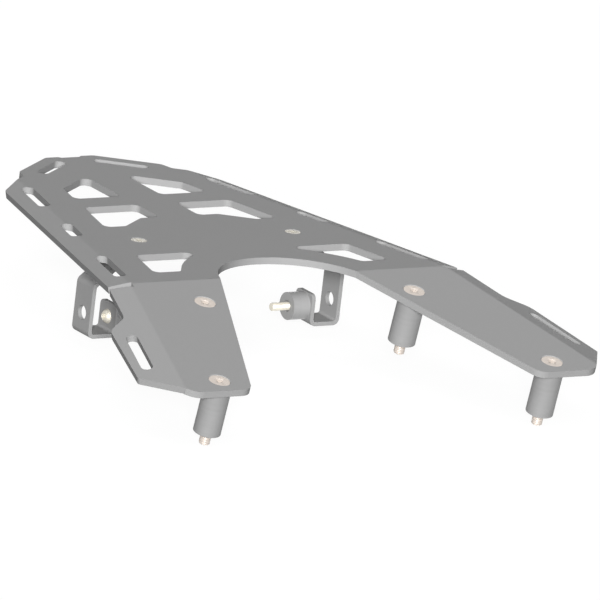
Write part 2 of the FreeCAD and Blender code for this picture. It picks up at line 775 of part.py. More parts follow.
def make_button_bolt(label, placement):
    """Make a button-head bolt: its seat is at the origin and its crown above it."""
    rim = "(Sizes.bolt_head / 2)"
    crown = "(Sizes.bolt_crown_diameter / 2)"
    top = "Sizes.bolt_head_height"
    shank = "(Sizes.bolt_diameter / 2)"
    tip = "(-Sizes.bolt_length)"
    # The dome's centre lies on the axis, where it is as far from the rim as from the crown
    centre = f"(({top}^2 + {crown}^2 - {rim}^2) / (2 * {top}))"
    dome = f"sqrt({rim}^2 + {centre}^2)"
    halfway = f"({top} / 2)"
    profile = [
        ("0", tip),
        (f"({shank} - Sizes.thread_chamfer)", tip),
        (shank, f"({tip} + Sizes.thread_chamfer)"),
        (shank, "0"),
        (rim, "0"),
        (crown, top),
        ("0", top),
    ]
    arcs = {4: (("0", centre), (f"sqrt({dome}^2 - ({halfway} - {centre})^2)", halfway))}
    body = make_turned_body(label, placement, profile, arcs)
    sink_socket(body, top, "Sizes.bolt_socket", "Sizes.bolt_socket_depth")
    return body


def make_nut(label, placement):
    """Make a lock nut that hangs down from its placement, with a round collar at its end."""
    body = new_body(label)
    sketch = new_sketch(body, f"{label}_hexagon")
    draw_hexagon(sketch, "Sizes.nut_across_flats")
    pad(body, f"{label}_flats", sketch, "Sizes.nut_hexagon_height", reverse=True)
    sketch = new_sketch(body, f"{label}_collar_circle")
    draw_circle(sketch, "0", "0", "Sizes.nut_collar_diameter")
    pad(body, f"{label}_collar", sketch, "Sizes.nut_height", reverse=True)
    sketch = new_sketch(body, f"{label}_thread_circle")
    draw_circle(sketch, "0", "0", "Sizes.deck_screw_diameter")
    cut(body, f"{label}_thread", sketch, f"Sizes.nut_height * {REACH}")
    body.setExpression("Placement", placement)
    doc.recompute()
    return body


# Brackets: a bent strip, drawn from the front with its right side outwards

TONGUE_END = "(Sizes.deck_screw_half_span - Sizes.tongue_overhang)"
KNEE_Z = f"({UNDERSIDE_Z} - Sizes.knee_drop)"
BASE_Z = f"({UNDERSIDE_Z} - Sizes.bracket_drop)"
EAR_X = "(Sizes.bracket_half_span - Sizes.base_width)"
EAR_TOP_Z = f"({BASE_Z} + Sizes.ear_height)"
INSIDE = "Sizes.bracket_thickness"
BOLT_Z = f"({BASE_Z} + Sizes.bolt_height)"
WEB_THICKNESS = f"({INSIDE} / cos(Sizes.web_angle))"


def web_x(z, offset="0"):
    """X of the web's upper face, or of a face below it, at a height."""
    return f"(Sizes.bracket_half_span - (({z}) - {KNEE_Z} + {offset}) / tan(Sizes.web_angle))"


TONGUE_BELOW = f"({UNDERSIDE_Z} - {INSIDE})"
LEG_INSIDE_X = f"(Sizes.bracket_half_span - {INSIDE})"
LEG_INSIDE_Z = f"({KNEE_Z} + {INSIDE} * tan(Sizes.web_angle) - {WEB_THICKNESS})"
OUTER_BENDS = [
    (web_x(UNDERSIDE_Z), UNDERSIDE_Z),
    ("Sizes.bracket_half_span", KNEE_Z),
    ("Sizes.bracket_half_span", BASE_Z),
    (EAR_X, BASE_Z),
]
INNER_BENDS = [
    (f"({EAR_X} + {INSIDE})", f"({BASE_Z} + {INSIDE})"),
    (LEG_INSIDE_X, f"({BASE_Z} + {INSIDE})"),
    (LEG_INSIDE_X, LEG_INSIDE_Z),
    (web_x(TONGUE_BELOW, WEB_THICKNESS), TONGUE_BELOW),
]
BRACKET_PROFILE = [
    (TONGUE_END, UNDERSIDE_Z),
    *OUTER_BENDS,
    (EAR_X, EAR_TOP_Z),
    (f"({EAR_X} + {INSIDE})", EAR_TOP_Z),
    *INNER_BENDS,
    (TONGUE_END, TONGUE_BELOW),
]


def make_bracket(label, side):
    """Make a bracket: the strip, its bends, its holes and the ear's round corners."""
    sign = MIRROR[side]
    body = new_body(label)

    def mirrored(corners):
        """The corners on this side of the rack."""
        return [(f"({sign} * {x})", z) for x, z in corners]

    sketch = new_sketch(body, f"{label}_profile", role="XZ_Plane")
    draw_outline(sketch, mirrored(BRACKET_PROFILE))
    pad(body, f"{label}_strip", sketch, "Sizes.bracket_width", midplane=True)
    plane = place("0", "0", "0", turn("X", "90"))
    inner = "Sizes.bracket_inner_radius"
    test = corner_test(plane, mirrored(OUTER_BENDS))
    round_edges(body, f"{label}_outer_bends", f"{inner} + {INSIDE}", test)
    test = corner_test(plane, mirrored(INNER_BENDS))
    round_edges(body, f"{label}_inner_bends", inner, test)

    # Ear corners, across the strip
    across = place("0", "0", EAR_TOP_Z, turn("Y", "90"))
    ends = [("0", "Sizes.bracket_width / 2"), ("0", "-Sizes.bracket_width / 2")]
    round_edges(body, f"{label}_ear_corners", "Sizes.ear_corner_radius", corner_test(across, ends))

    # Holes through the tongue, the leg and the ear
    sketch = new_sketch(body, f"{label}_screw_circle", place("0", "0", UNDERSIDE_Z))
    draw_circle(sketch, f"({sign} * Sizes.deck_screw_half_span)", "0", "Sizes.deck_screw_hole")
    cut(body, f"{label}_screw_hole", sketch, f"{INSIDE} * {REACH}")
    holes = (
        ("access", "Sizes.bracket_half_span", "Sizes.access_hole_height", "Sizes.access_hole"),
        ("ear", EAR_X, "Sizes.bolt_height", "Sizes.ear_hole"),
    )
    for name, x, height, diameter in holes:
        plane = place(f"{sign} * {x}", "0", f"{BASE_Z} + {height}", turn("Y", "90"))
        sketch = new_sketch(body, f"{label}_{name}_circle", plane)
        draw_circle(sketch, "0", "0", diameter)
        cut(body, f"{label}_{name}_hole", sketch, f"{INSIDE} * {REACH}")
    return body


# Where the fasteners sit


def arm_place(half_span, from_bend_distance, depth, side):
    """Place on the arm's top at a screw, moved down along the arm's normal by a depth."""
    return (
        f"{place('0', FRONT_BEND_Y, '0', ARM_TURN)}"
        f" * {place(f'{MIRROR[side]} * {half_span}', f'-{from_bend_distance}', f'-({depth})')}"
    )


def countersunk_depth(kind):
    """Depth of a screw's head below the plate, where its cone fills the countersink."""
    return f"((Sizes.{kind}_countersink - Sizes.{kind}_screw_head) / 2 - Sizes.head_land)"


def make_arm_fasteners():
    """Make the arms' four screws and the spacers below them."""
    made = []
    for end, (half_span, distance) in ARM_SCREWS.items():
        for side in MIRROR:
            seat = arm_place(half_span, distance, countersunk_depth("arm"), side)
            made.append(make_countersunk_screw(f"arm_screw_{end}_{side}", seat, "arm"))
            below = arm_place(
                half_span, distance, "Sizes.sheet_thickness + Sizes.spacer_length", side
            )
            made.append(
                make_ring(
                    f"spacer_{end}_{side}", below,
                    "Sizes.spacer_diameter", "Sizes.spacer_bore", "Sizes.spacer_length",
                )
            )
    return made


def make_bracket_set(side):
    """Make one bracket with its deck screw, washer, nut, bolt and bush."""
    sign = MIRROR[side]
    screw_x = f"{sign} * Sizes.deck_screw_half_span"
    washer_z = f"({TONGUE_BELOW} - Sizes.washer_thickness)"
    inwards = turn("Y", "90" if side == "left" else "-90")
    head_x = f"{sign} * ({EAR_X} + {INSIDE})"
    outwards = turn("Y", "-90" if side == "left" else "90")
    return [
        make_bracket(f"bracket_{side}", side),
        make_countersunk_screw(
            f"deck_screw_{side}", place(screw_x, "0", f"-{countersunk_depth('deck')}"), "deck"
        ),
        make_ring(
            f"deck_washer_{side}", place(screw_x, "0", washer_z),
            "Sizes.washer_diameter", "Sizes.washer_bore", "Sizes.washer_thickness",
        ),
        make_nut(f"deck_nut_{side}", place(screw_x, "0", washer_z)),
        make_button_bolt(f"bracket_bolt_{side}", place(head_x, "0", BOLT_Z, outwards)),
        make_ring(
            f"bush_{side}", place(f"{sign} * {EAR_X}", "0", BOLT_Z, inwards),
            "Sizes.bush_diameter", "Sizes.bush_bore", "Sizes.bush_length",
        ),
    ]


pieces = [make_plate(), *make_arm_fasteners()]
for bracket_side in MIRROR:
    pieces += make_bracket_set(bracket_side)
doc.recompute()

for item in doc.Objects:
    if "Invalid" in item.State or "Error" in item.State:
        raise RuntimeError(f"{item.Label} did not build: {item.State}")

os.makedirs("parts", exist_ok=True)
for piece in pieces:
    if piece.Shape.isNull() or not piece.Shape.isValid():
        raise RuntimeError(f"{piece.Label} has no valid shape")
    piece.Shape.exportStep(f"parts/{piece.Label}.step")
    print(f"{piece.Label}: {len(piece.Shape.Solids)} solid, {piece.Shape.Volume:.0f} mm3")
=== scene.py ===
"""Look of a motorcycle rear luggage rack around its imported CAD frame.

The bent plate, the brackets, the spacers, the bushes and the washers keep their CAD meshes and get
procedural finishes. The screws, the bolts and the lock nuts are numpy surfaces with sockets and
threads, and each takes the place of its plainer CAD solid.
"""

import logging
import math
from dataclasses import dataclass, field
from enum import Enum
from typing import Any

import bpy
import numpy as np
from mathutils import Matrix, Vector


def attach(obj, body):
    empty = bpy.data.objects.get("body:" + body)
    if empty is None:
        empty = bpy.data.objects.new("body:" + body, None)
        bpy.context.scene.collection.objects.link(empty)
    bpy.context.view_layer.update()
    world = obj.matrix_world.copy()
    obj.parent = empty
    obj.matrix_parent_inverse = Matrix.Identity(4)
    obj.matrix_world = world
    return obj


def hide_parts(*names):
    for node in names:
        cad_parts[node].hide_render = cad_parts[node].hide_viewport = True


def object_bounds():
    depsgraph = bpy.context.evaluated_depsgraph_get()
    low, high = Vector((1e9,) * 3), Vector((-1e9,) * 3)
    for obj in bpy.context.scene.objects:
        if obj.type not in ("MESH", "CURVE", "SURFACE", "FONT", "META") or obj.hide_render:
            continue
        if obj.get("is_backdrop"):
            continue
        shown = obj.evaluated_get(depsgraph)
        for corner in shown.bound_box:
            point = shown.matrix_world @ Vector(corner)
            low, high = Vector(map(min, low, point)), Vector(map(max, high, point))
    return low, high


logging.basicConfig(level=logging.INFO, format="%(levelname)s %(message)s")
LOG = logging.getLogger("luggage_rack")

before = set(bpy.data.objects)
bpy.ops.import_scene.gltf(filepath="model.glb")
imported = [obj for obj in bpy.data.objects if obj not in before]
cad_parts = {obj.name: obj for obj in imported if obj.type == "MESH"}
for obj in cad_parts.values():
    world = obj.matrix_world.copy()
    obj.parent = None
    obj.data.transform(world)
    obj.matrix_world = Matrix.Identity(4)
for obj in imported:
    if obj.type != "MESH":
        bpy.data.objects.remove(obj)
CAD_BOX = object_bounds()

Rings = tuple[tuple[float, float], ...]

BODY = "root"
MM = 0.001
NOISE_MEAN = 0.5
WHITE = (1.0, 1.0, 1.0, 1.0)


class Side(Enum):
    """Side of the rack, with the sign of its X."""

    LEFT = -1
    RIGHT = 1

    @property
    def word(self) -> str:
        """Name of the side in node names."""
        return self.name.lower()


class Slot(Enum):
    """Material slots of the record."""

    RACK = "rack"
    BRACKET = "bracket"
    SPACER = "spacer"
    BUSH = "bush"
    SCREW = "screw"


# Shader nodes


class Wire:
    """A socket of a node tree that takes part in Python expressions."""

    def __init__(self, book: "NodeBook", socket: Any) -> None:
        """Keep the tree and the socket.

        Args:
            book: The tree's node builder.
            socket: The output socket.
        """
        self.book = book
        self.socket = socket

    def _math(self, operation: str, *values: Any) -> "Wire":
        """Add one Math node.

        Args:
            operation: The node's operation.
            values: Wires or numbers for its inputs.

        Returns:
            The node's result.
        """
        return self.book.node("ShaderNodeMath", {"operation": operation}, dict(enumerate(values)))

    def __add__(self, other: Any) -> "Wire":
        """Sum."""
        return self._math("ADD", self, other)

    __radd__ = __add__

    def __mul__(self, other: Any) -> "Wire":
        """Product."""
        return self._math("MULTIPLY", self, other)

    __rmul__ = __mul__

    def __sub__(self, other: Any) -> "Wire":
        """Difference."""
        return self._math("SUBTRACT", self, other)

    def __rsub__(self, other: Any) -> "Wire":
        """Difference from a number."""
        return self._math("SUBTRACT", other, self)

    def __pow__(self, other: Any) -> "Wire":
        """Power."""
        return self._math("POWER", self, other)

    def __abs__(self) -> "Wire":
        """Absolute value."""
        return self._math("ABSOLUTE", self)

    def largest(self, other: Any) -> "Wire":
        """Larger of two values."""
        return self._math("MAXIMUM", self, other)

    def step(self, low: float, high: float) -> "Wire":
        """Rise smoothly from 0 at the low value to 1 at the high one.

        Args:
            low: Value where the rise starts.
            high: Value where the rise ends.

        Returns:
            The smooth step.
        """
        return self.book.node(
            "ShaderNodeMapRange",
            {"interpolation_type": "SMOOTHSTEP"},
            {"Value": self, "From Min": low, "From Max": high},
        )


class NodeBook:
    """Builder of one material's or world's node tree."""

    def __init__(self, tree: Any) -> None:
        """Take an empty tree.

        Args:
            tree: The node tree.
        """
        self.tree = tree
        tree.nodes.clear()

    def node(
        self,
        kind: str,
        settings: dict[str, Any] | None = None,
        values: dict[Any, Any] | None = None,
        output: Any = 0,
    ) -> Wire:
        """Add a node: first its settings, then the values or links of its inputs.

        Args:
            kind: The node's type.
            settings: Its properties.
            values: Numbers, colours or wires by input name or index.
            output: Name or index of the output that is returned.

        Returns:
            The chosen output.
        """
        made = self.tree.nodes.new(kind)
        for key, value in (settings or {}).items():
            setattr(made, key, value)
        for key, value in (values or {}).items():
            if isinstance(value, Wire):
                self.tree.links.new(value.socket, made.inputs[key])
            else:
                made.inputs[key].default_value = value
        return Wire(self, made.outputs[output])

    def place(self, centre: Vector, turn_x: float = 0.0, turn_y: float = 0.0) -> tuple[Wire, ...]:
        """Object coordinates about a centre, turned so that a piece's axis is Z.

        Args:
            centre: The centre in the row frame, in metres.
            turn_x: Turn about X, in radians, made first.
            turn_y: Turn about Y, in radians, made second.

        Returns:
            The vector and its X, Y and Z.
        """
        raw = self.node("ShaderNodeTexCoord", output="Object")
        moved = self.node(
            "ShaderNodeVectorMath", {"operation": "SUBTRACT"}, {0: raw, 1: tuple(centre)}
        )
        turned = self.node(
            "ShaderNodeMapping",
            {"vector_type": "POINT"},
            {"Vector": moved, "Rotation": (turn_x, turn_y, 0.0)},
        )
        parts = self.tree.nodes.new("ShaderNodeSeparateXYZ")
        self.tree.links.new(turned.socket, parts.inputs[0])
        return (turned, *(Wire(self, parts.outputs[i]) for i in range(3)))

    def join(self, x: Any, y: Any, z: Any) -> Wire:
        """Vector of three values."""
        return self.node("ShaderNodeCombineXYZ", values={0: x, 1: y, 2: z})

    def noise(self, vector: Wire, scale: float, detail: float = 2.0, rough: float = 0.5) -> Wire:
        """Noise about 0, from -0.5 to 0.5.

        Args:
            vector: Coordinates in metres.
            scale: Lumps per metre.
            detail: Octaves.
            rough: Weight of the finer octaves.

        Returns:
            The noise.
        """
        return (
            self.node(
                "ShaderNodeTexNoise",
                {"noise_dimensions": "3D"},
                {"Vector": vector, "Scale": scale, "Detail": detail, "Roughness": rough},
            )
            - NOISE_MEAN
        )

    def lines(self, value: Wire, per_metre: float, detail: float = 3.0) -> Wire:
        """Irregular lines along one value, from -0.5 to 0.5.

        Args:
            value: The coordinate that the lines cross, in metres.
            per_metre: Lines per metre.
            detail: Octaves.

        Returns:
            The lines' height.
        """
        return (
            self.node(
                "ShaderNodeTexNoise",
                {"noise_dimensions": "1D"},
                {"W": value * per_metre, "Scale": 1.0, "Detail": detail},
            )
            - NOISE_MEAN
        )

    def shade(self, colour: "Colour", light: Wire) -> Wire:
        """Colour made lighter or darker by a value about 0.

        Args:
            colour: The plain colour.
            light: Relative change of its brightness.

        Returns:
            The changed colour.
        """
        level = light + 1.0
        return self.node(
            "ShaderNodeVectorMath",
            {"operation": "MULTIPLY"},
            {0: self.join(level, level, level), 1: colour.linear[:3]},
        )

    def bump(self, height: Wire, distance: float, strength: float = 1.0) -> Wire:
        """Normal of a bumpy surface.

        Args:
            height: Height from about -0.5 to 0.5.
            distance: Height of one unit, in metres.
            strength: Share of the bump that is used.

        Returns:
            The normal.
        """
        return self.node(
            "ShaderNodeBump",
            values={"Height": height, "Distance": distance, "Strength": strength},
        )

    def principled(self, constants: dict[str, Any], varied: dict[str, Wire]) -> Wire:
        """Principled shader.

        Args:
            constants: Values that are the same all over the surface.
            varied: Wires for what changes over it.

        Returns:
            The shader.
        """
        return self.node("ShaderNodeBsdfPrincipled", values={**constants, **varied})

    def output(self, shader: Wire, kind: str = "ShaderNodeOutputMaterial") -> None:
        """Connect the shader to the tree's output.

        Args:
            shader: The shader.
            kind: Type of the output node.
        """
        made = self.tree.nodes.new(kind)
        self.tree.links.new(shader.socket, made.inputs["Surface"])


@dataclass(frozen=True)
class Colour:
    """A colour as it is seen on a screen, each channel from 0 to 255."""

    red: float
    green: float
    blue: float

    @property
    def linear(self) -> tuple[float, float, float, float]:
        """Linear values, with full alpha."""
        seen = np.array((self.red, self.green, self.blue)) / 255.0
        low, high = seen / 12.92, ((seen + 0.055) / 1.055) ** 2.4
        return (*np.where(seen <= 0.04045, low, high).tolist(), 1.0)


# Finishes


@dataclass(frozen=True)
class Finish:
    """What all finishes share."""

    name: str
    colour: Colour
    roughness: float = 0.55
    metallic: float = 0.0
    specular: float = 0.001

    def start(self) -> tuple[Any, NodeBook]:
        """Make an empty material.

        Returns:
            The material and its node builder.
        """
        material = bpy.data.materials.new(self.name)
        material.use_nodes = True
        return material, NodeBook(material.node_tree)

    def material(self) -> Any:
        """Make the material."""
        raise NotImplementedError

    def finish(self, book: NodeBook, light: Wire, rough: Wire, normal: Wire) -> None:
        """Connect a principled shader.

        Args:
            book: The node builder.
            light: Relative change of brightness over the surface.
            rough: Change of roughness over the surface.
            normal: The bumpy normal.
        """
        varied = {
            "Base Color": book.shade(self.colour, light),
            "Roughness": rough + self.roughness,
            "Normal": normal,
        }
        constants = {"Metallic": self.metallic, "Specular IOR Level": self.specular}
        book.output(book.principled(constants, varied))


@dataclass(frozen=True)
class SatinCoat(Finish):
    """Satin grey coat on sheet metal, with the fine lines of a laser cut on its edges."""

    grain_per_metre: float = 1600.0
    grain_light: float = 0.07
    grain_roughness: float = 0.10
    clouds_per_metre: float = 9.0
    cloud_light: float = 0.035
    cloud_roughness: float = 0.06
    cut_lines_per_metre: float = 1500.0
    cut_light: float = 0.06
    cut_roughness: float = -0.12
    cut_height: float = 0.7
    cut_stretch: float = 0.06
    upright_from: float = 0.75
    upright_whole: float = 0.45
    bump_height: float = 0.00004
    bump_strength: float = 0.35

    def material(self) -> Any:
        """Make the coat: grain and faint clouds, and cut lines where the surface stands upright.

        The cut edges are where the Z of the surface's normal is small. Their lines cross the
        sheet, so they change quickly along X and Y and slowly along Z.
        """
        material, book = self.start()
        vector, x, y, z = book.place(Vector((0, 0, 0)))
        upright = 1.0 - abs(self._normal_z(book)).step(self.upright_whole, self.upright_from)
        grain = book.noise(vector, self.grain_per_metre, detail=3.0, rough=0.6)
        clouds = book.noise(vector, self.clouds_per_metre, rough=0.4)
        across = book.join(x, y, z * self.cut_stretch)
        cut = book.noise(across, self.cut_lines_per_metre) * upright
        light = grain * self.grain_light + clouds * self.cloud_light + cut * self.cut_light
        rough = (
            grain * self.grain_roughness
            + clouds * self.cloud_roughness
            + upright * self.cut_roughness
        )
        height = grain * (1.0 - upright) + cut * self.cut_height
        normal = book.bump(height, self.bump_height, self.bump_strength)
        self.finish(book, light, rough, normal)
        return material

    @staticmethod
    def _normal_z(book: NodeBook) -> Wire:
        """Z of the surface's normal."""
        normal = book.node("ShaderNodeNewGeometry", output="Normal")
        parts = book.tree.nodes.new("ShaderNodeSeparateXYZ")
        book.tree.links.new(normal.socket, parts.inputs[0])
        return Wire(book, parts.outputs[2])


@dataclass(frozen=True)
class BrushedStrip(Finish):
    """Grey bent strip whose faint brushing runs along the strip, across its width's Y."""

    lines_per_metre: float = 2600.0
    line_stretch: float = 0.012
    line_light: float = 0.10
    line_roughness: float = 0.12
    clouds_per_metre: float = 45.0
    cloud_light: float = 0.05
    cloud_roughness: float = 0.06
    bump_height: float = 0.00003
    bump_strength: float = 0.35

    def material(self) -> Any:
        """Make the strip's finish: lines that change quickly along Y and slowly along X and Z."""
        material, book = self.start()
        vector, x, y, z = book.place(Vector((0, 0, 0)))
        along = book.join(x * self.line_stretch, y, z * self.line_stretch)
        brush = book.noise(along, self.lines_per_metre, detail=3.0, rough=0.6)
        clouds = book.noise(vector, self.clouds_per_metre, rough=0.4)
        light = brush * self.line_light + clouds * self.cloud_light
        rough = brush * self.line_roughness + clouds * self.cloud_roughness
        self.finish(book, light, rough, book.bump(brush, self.bump_height, self.bump_strength))
        return material


@dataclass(frozen=True)
class Turned(Finish):
    """Turned metal: fine rings about the piece's own axis, on its wall and on its ends."""

    centre: tuple[float, float, float] = (0.0, 0.0, 0.0)
    turn_x: float = 0.0
    turn_y: float = 0.0
    rings_per_metre: float = 3800.0
    ring_light: float = 0.10
    ring_roughness: float = 0.14
    wide_share: float = 0.12
    wide_light: float = 0.06
    clouds_per_metre: float = 120.0
    cloud_light: float = 0.05
    cloud_roughness: float = 0.08
    bump_height: float = 0.00002
    bump_strength: float = 0.4

    def material(self) -> Any:
        """Make the rings: lines across the sum of the radius and the height on the axis."""
        material, book = self.start()
        vector, x, y, z = book.place(Vector(self.centre), self.turn_x, self.turn_y)
        radius = (x * x + y * y) ** 0.5
        rings = book.lines(radius + z, self.rings_per_metre)
        wide = book.lines(radius + z, self.rings_per_metre * self.wide_share, detail=1.0)
        clouds = book.noise(vector, self.clouds_per_metre)
        light = rings * self.ring_light + wide * self.wide_light + clouds * self.cloud_light
        rough = rings * self.ring_roughness + clouds * self.cloud_roughness
        self.finish(book, light, rough, book.bump(rings, self.bump_height, self.bump_strength))
        return material


@dataclass(frozen=True)
class TurnedAluminium(Turned):
    """Satin aluminium of the spacers and bushes."""

    roughness: float = 0.5
    metallic: float = 0.15
    specular: float = 0.1


@dataclass(frozen=True)
class ScrewSteel(Turned):
    """Plain stainless steel of the countersunk screws."""

    roughness: float = 0.45
    metallic: float = 0.25
    specular: float = 0.15
    rings_per_metre: float = 3000.0


@dataclass(frozen=True)
class BoltSteel(ScrewSteel):
    """Brighter steel of the button-head bolts."""

    metallic: float = 0.4
    specular: float = 0.2


@dataclass(frozen=True)
class NutSteel(BoltSteel):
    """Steel of the washers and lock nuts."""

    rings_per_metre: float = 2600.0


# Surfaces of revolution with a hexagon


@dataclass(frozen=True)
class Pose:
    """Place of a turned piece: where its head's reference point lies and how it is turned."""

    origin: tuple[float, float, float]
    turn: Matrix

    def carry(self, local: np.ndarray) -> np.ndarray:
        """Move points from the piece's frame to the row frame.

        Args:
            local: Points as rows, in millimetres.

        Returns:
            The points in metres: turned, then shifted by the origin.
        """
        return (local @ np.array(self.turn.to_3x3()).T + np.array(self.origin)) * MM


@dataclass
class Profile:
    """Rings of a turned surface, from one pole to the other."""

    radius: list[float] = field(default_factory=list)
    height: list[float] = field(default_factory=list)
    hexagon: list[float] = field(default_factory=list)
    thread: list[float] = field(default_factory=list)

    def ring(self, radius: float, height: float, hexagon: float = 0.0) -> None:
        """Add a plain ring.

        Args:
            radius: Its radius, or half across the flats of a hexagon, in mm.
            height: Its height on the axis, in mm.
            hexagon: 0 for a circle, 1 for a hexagon, between them for a blend.
        """
        self.radius.append(radius)
        self.height.append(height)
        self.hexagon.append(hexagon)
        self.thread.append(0.0)

    def sweep(
        self, radius: np.ndarray, height: np.ndarray, thread: np.ndarray | None = None
    ) -> None:
        """Add many circular rings.

        Args:
            radius: Their radii, in mm.
            height: Their heights, in mm.
            thread: Depth of the thread at each ring, in mm.
        """
        self.radius += radius.tolist()
        self.height += height.tolist()
        self.hexagon += np.zeros_like(radius).tolist()
        self.thread += (np.zeros_like(radius) if thread is None else thread).tolist()

    def grid(self, sectors: int, pitch: float) -> np.ndarray:
        """Points of the surface on a grid of rings and sectors.

        At an angle u a ring of half width a is a / cos(u mod 60 deg - 30 deg) away from the axis
        where it is a hexagon and a where it is a circle. A thread of depth d takes away
        d * |2 * frac(u / 360 deg - z / pitch) - 1|, which is a V-shaped groove that climbs by one
        pitch each turn.

        Args:
            sectors: Number of points on a ring.
            pitch: Pitch of the thread, in mm.

        Returns:
            An array of rings x sectors x 3, in mm.
        """
        u = np.linspace(0.0, 2.0 * np.pi, sectors, endpoint=False)[None, :]
        a = np.array(self.radius)[:, None]
        z = np.array(self.height)[:, None]
        h = np.array(self.hexagon)[:, None]
        d = np.array(self.thread)[:, None]
        sixth = np.mod(u, np.pi / 3.0) - np.pi / 6.0
        groove = np.abs(2.0 * np.mod(u / (2.0 * np.pi) - z / pitch, 1.0) - 1.0)
        r = a * ((1.0 - h) + h / np.cos(sixth)) - d * groove
        z = np.broadcast_to(z, r.shape)
        return np.stack((r * np.cos(u), r * np.sin(u), z), axis=-1)


def solid_mesh(name: str, vertices: np.ndarray, blocks: list[np.ndarray], sharp: float) -> Any:
    """Make a closed mesh whose faces point outwards.

    Six times the enclosed volume is the sum of p . (q x r) over all triangles. If it comes out
    below zero, all faces are turned round.

    Args:
        name: Name of the piece.
        vertices: Points as rows, in metres.
        blocks: Arrays of quads or triangles, each a row of vertex numbers.
        sharp: Angle in degrees above which an edge stays sharp.

    Returns:
        The object, linked to the scene.
    """
    triangles = np.vstack(
        [block[:, [0, n, n + 1]] for block in blocks for n in range(1, block.shape[1] - 1)]
    )
    p, q, r = (vertices[triangles[:, n]] for n in range(3))
    if np.einsum("ij,ij->i", p, np.cross(q, r)).sum() < 0.0:
        blocks = [block[:, ::-1] for block in blocks]
    mesh = bpy.data.meshes.new(name)
    mesh.from_pydata(vertices.tolist(), [], [face for block in blocks for face in block.tolist()])
    mesh.validate()
    mesh.shade_smooth()
    mesh.set_sharp_from_angle(angle=math.radians(sharp))
    made = bpy.data.objects.new(name, mesh)
    bpy.context.scene.collection.objects.link(made)
    return made


def pole_mesh(name: str, points: np.ndarray, sharp: float = 32.0) -> Any:
    """Make a closed mesh of a grid whose first and last rings shrink to poles.

    Each cell of the grid is a quad between two rings. The first and the last ring have one point
    each, which is joined to its neighbours by triangles.

    Args:
        name: Name of the piece.
        points: Rings x sectors x 3, in metres.
        sharp: Angle in degrees above which an edge stays sharp.

    Returns:
        The object, linked to the scene.
    """
    rings, sectors = points.shape[:2]
    body = points[1:-1].reshape(-1, 3)
    count = len(body)
    vertices = np.vstack((body, points[0].mean(0), points[-1].mean(0)))
    i, j = np.meshgrid(np.arange(rings - 3), np.arange(sectors), indexing="ij")
    k = (j + 1) % sectors
    a, b, c, d = i * sectors + j, i * sectors + k, (i + 1) * sectors + k, (i + 1) * sectors + j
    quads = np.stack((a, d, c, b), axis=-1).reshape(-1, 4)
    s = np.arange(sectors)
    t = (s + 1) % sectors
    last = (rings - 3) * sectors
    top = np.stack((np.full(sectors, count), s, t), axis=-1)
    low = np.stack((np.full(sectors, count + 1), last + t, last + s), axis=-1)
    return solid_mesh(name, vertices, [quads, top, low], sharp)


def hoop_mesh(name: str, points: np.ndarray, sharp: float = 25.0) -> Any:
    """Make a closed mesh of a grid whose last ring joins its first, as around a wall's section.

    Args:
        name: Name of the piece.
        points: Rings x sectors x 3, in metres.
        sharp: Angle in degrees above which an edge stays sharp.

    Returns:
        The object, linked to the scene.
    """
    rings, sectors = points.shape[:2]
    i, j = np.meshgrid(np.arange(rings), np.arange(sectors), indexing="ij")
    n, k = (i + 1) % rings, (j + 1) % sectors
    corners = (i * sectors + j, n * sectors + j, n * sectors + k, i * sectors + k)
    quads = np.stack(corners, axis=-1).reshape(-1, 4)
    return solid_mesh(name, points.reshape(-1, 3), [quads], sharp)


def dress(piece: Any, material: Any) -> None:
    """Give a new piece or a CAD node its only material.

    Args:
        piece: The object.
        material: The material.
    """
    if piece.data.materials:
        piece.data.materials[0] = material
    else:
        piece.data.materials.append(material)


def put_in(piece: Any, slot: Slot, *nodes: str) -> None:
    """Let a new piece ride on the rack in place of CAD nodes.

    Args:
        piece: The new piece.
        slot: Its material slot; not used.
        nodes: The CAD nodes that it stands for.
    """
    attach(piece, BODY)
    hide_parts(*nodes)
    LOG.info("%s: %d faces, in place of %s", piece.name, len(piece.data.polygons), ", ".join(nodes))


# Threaded fasteners


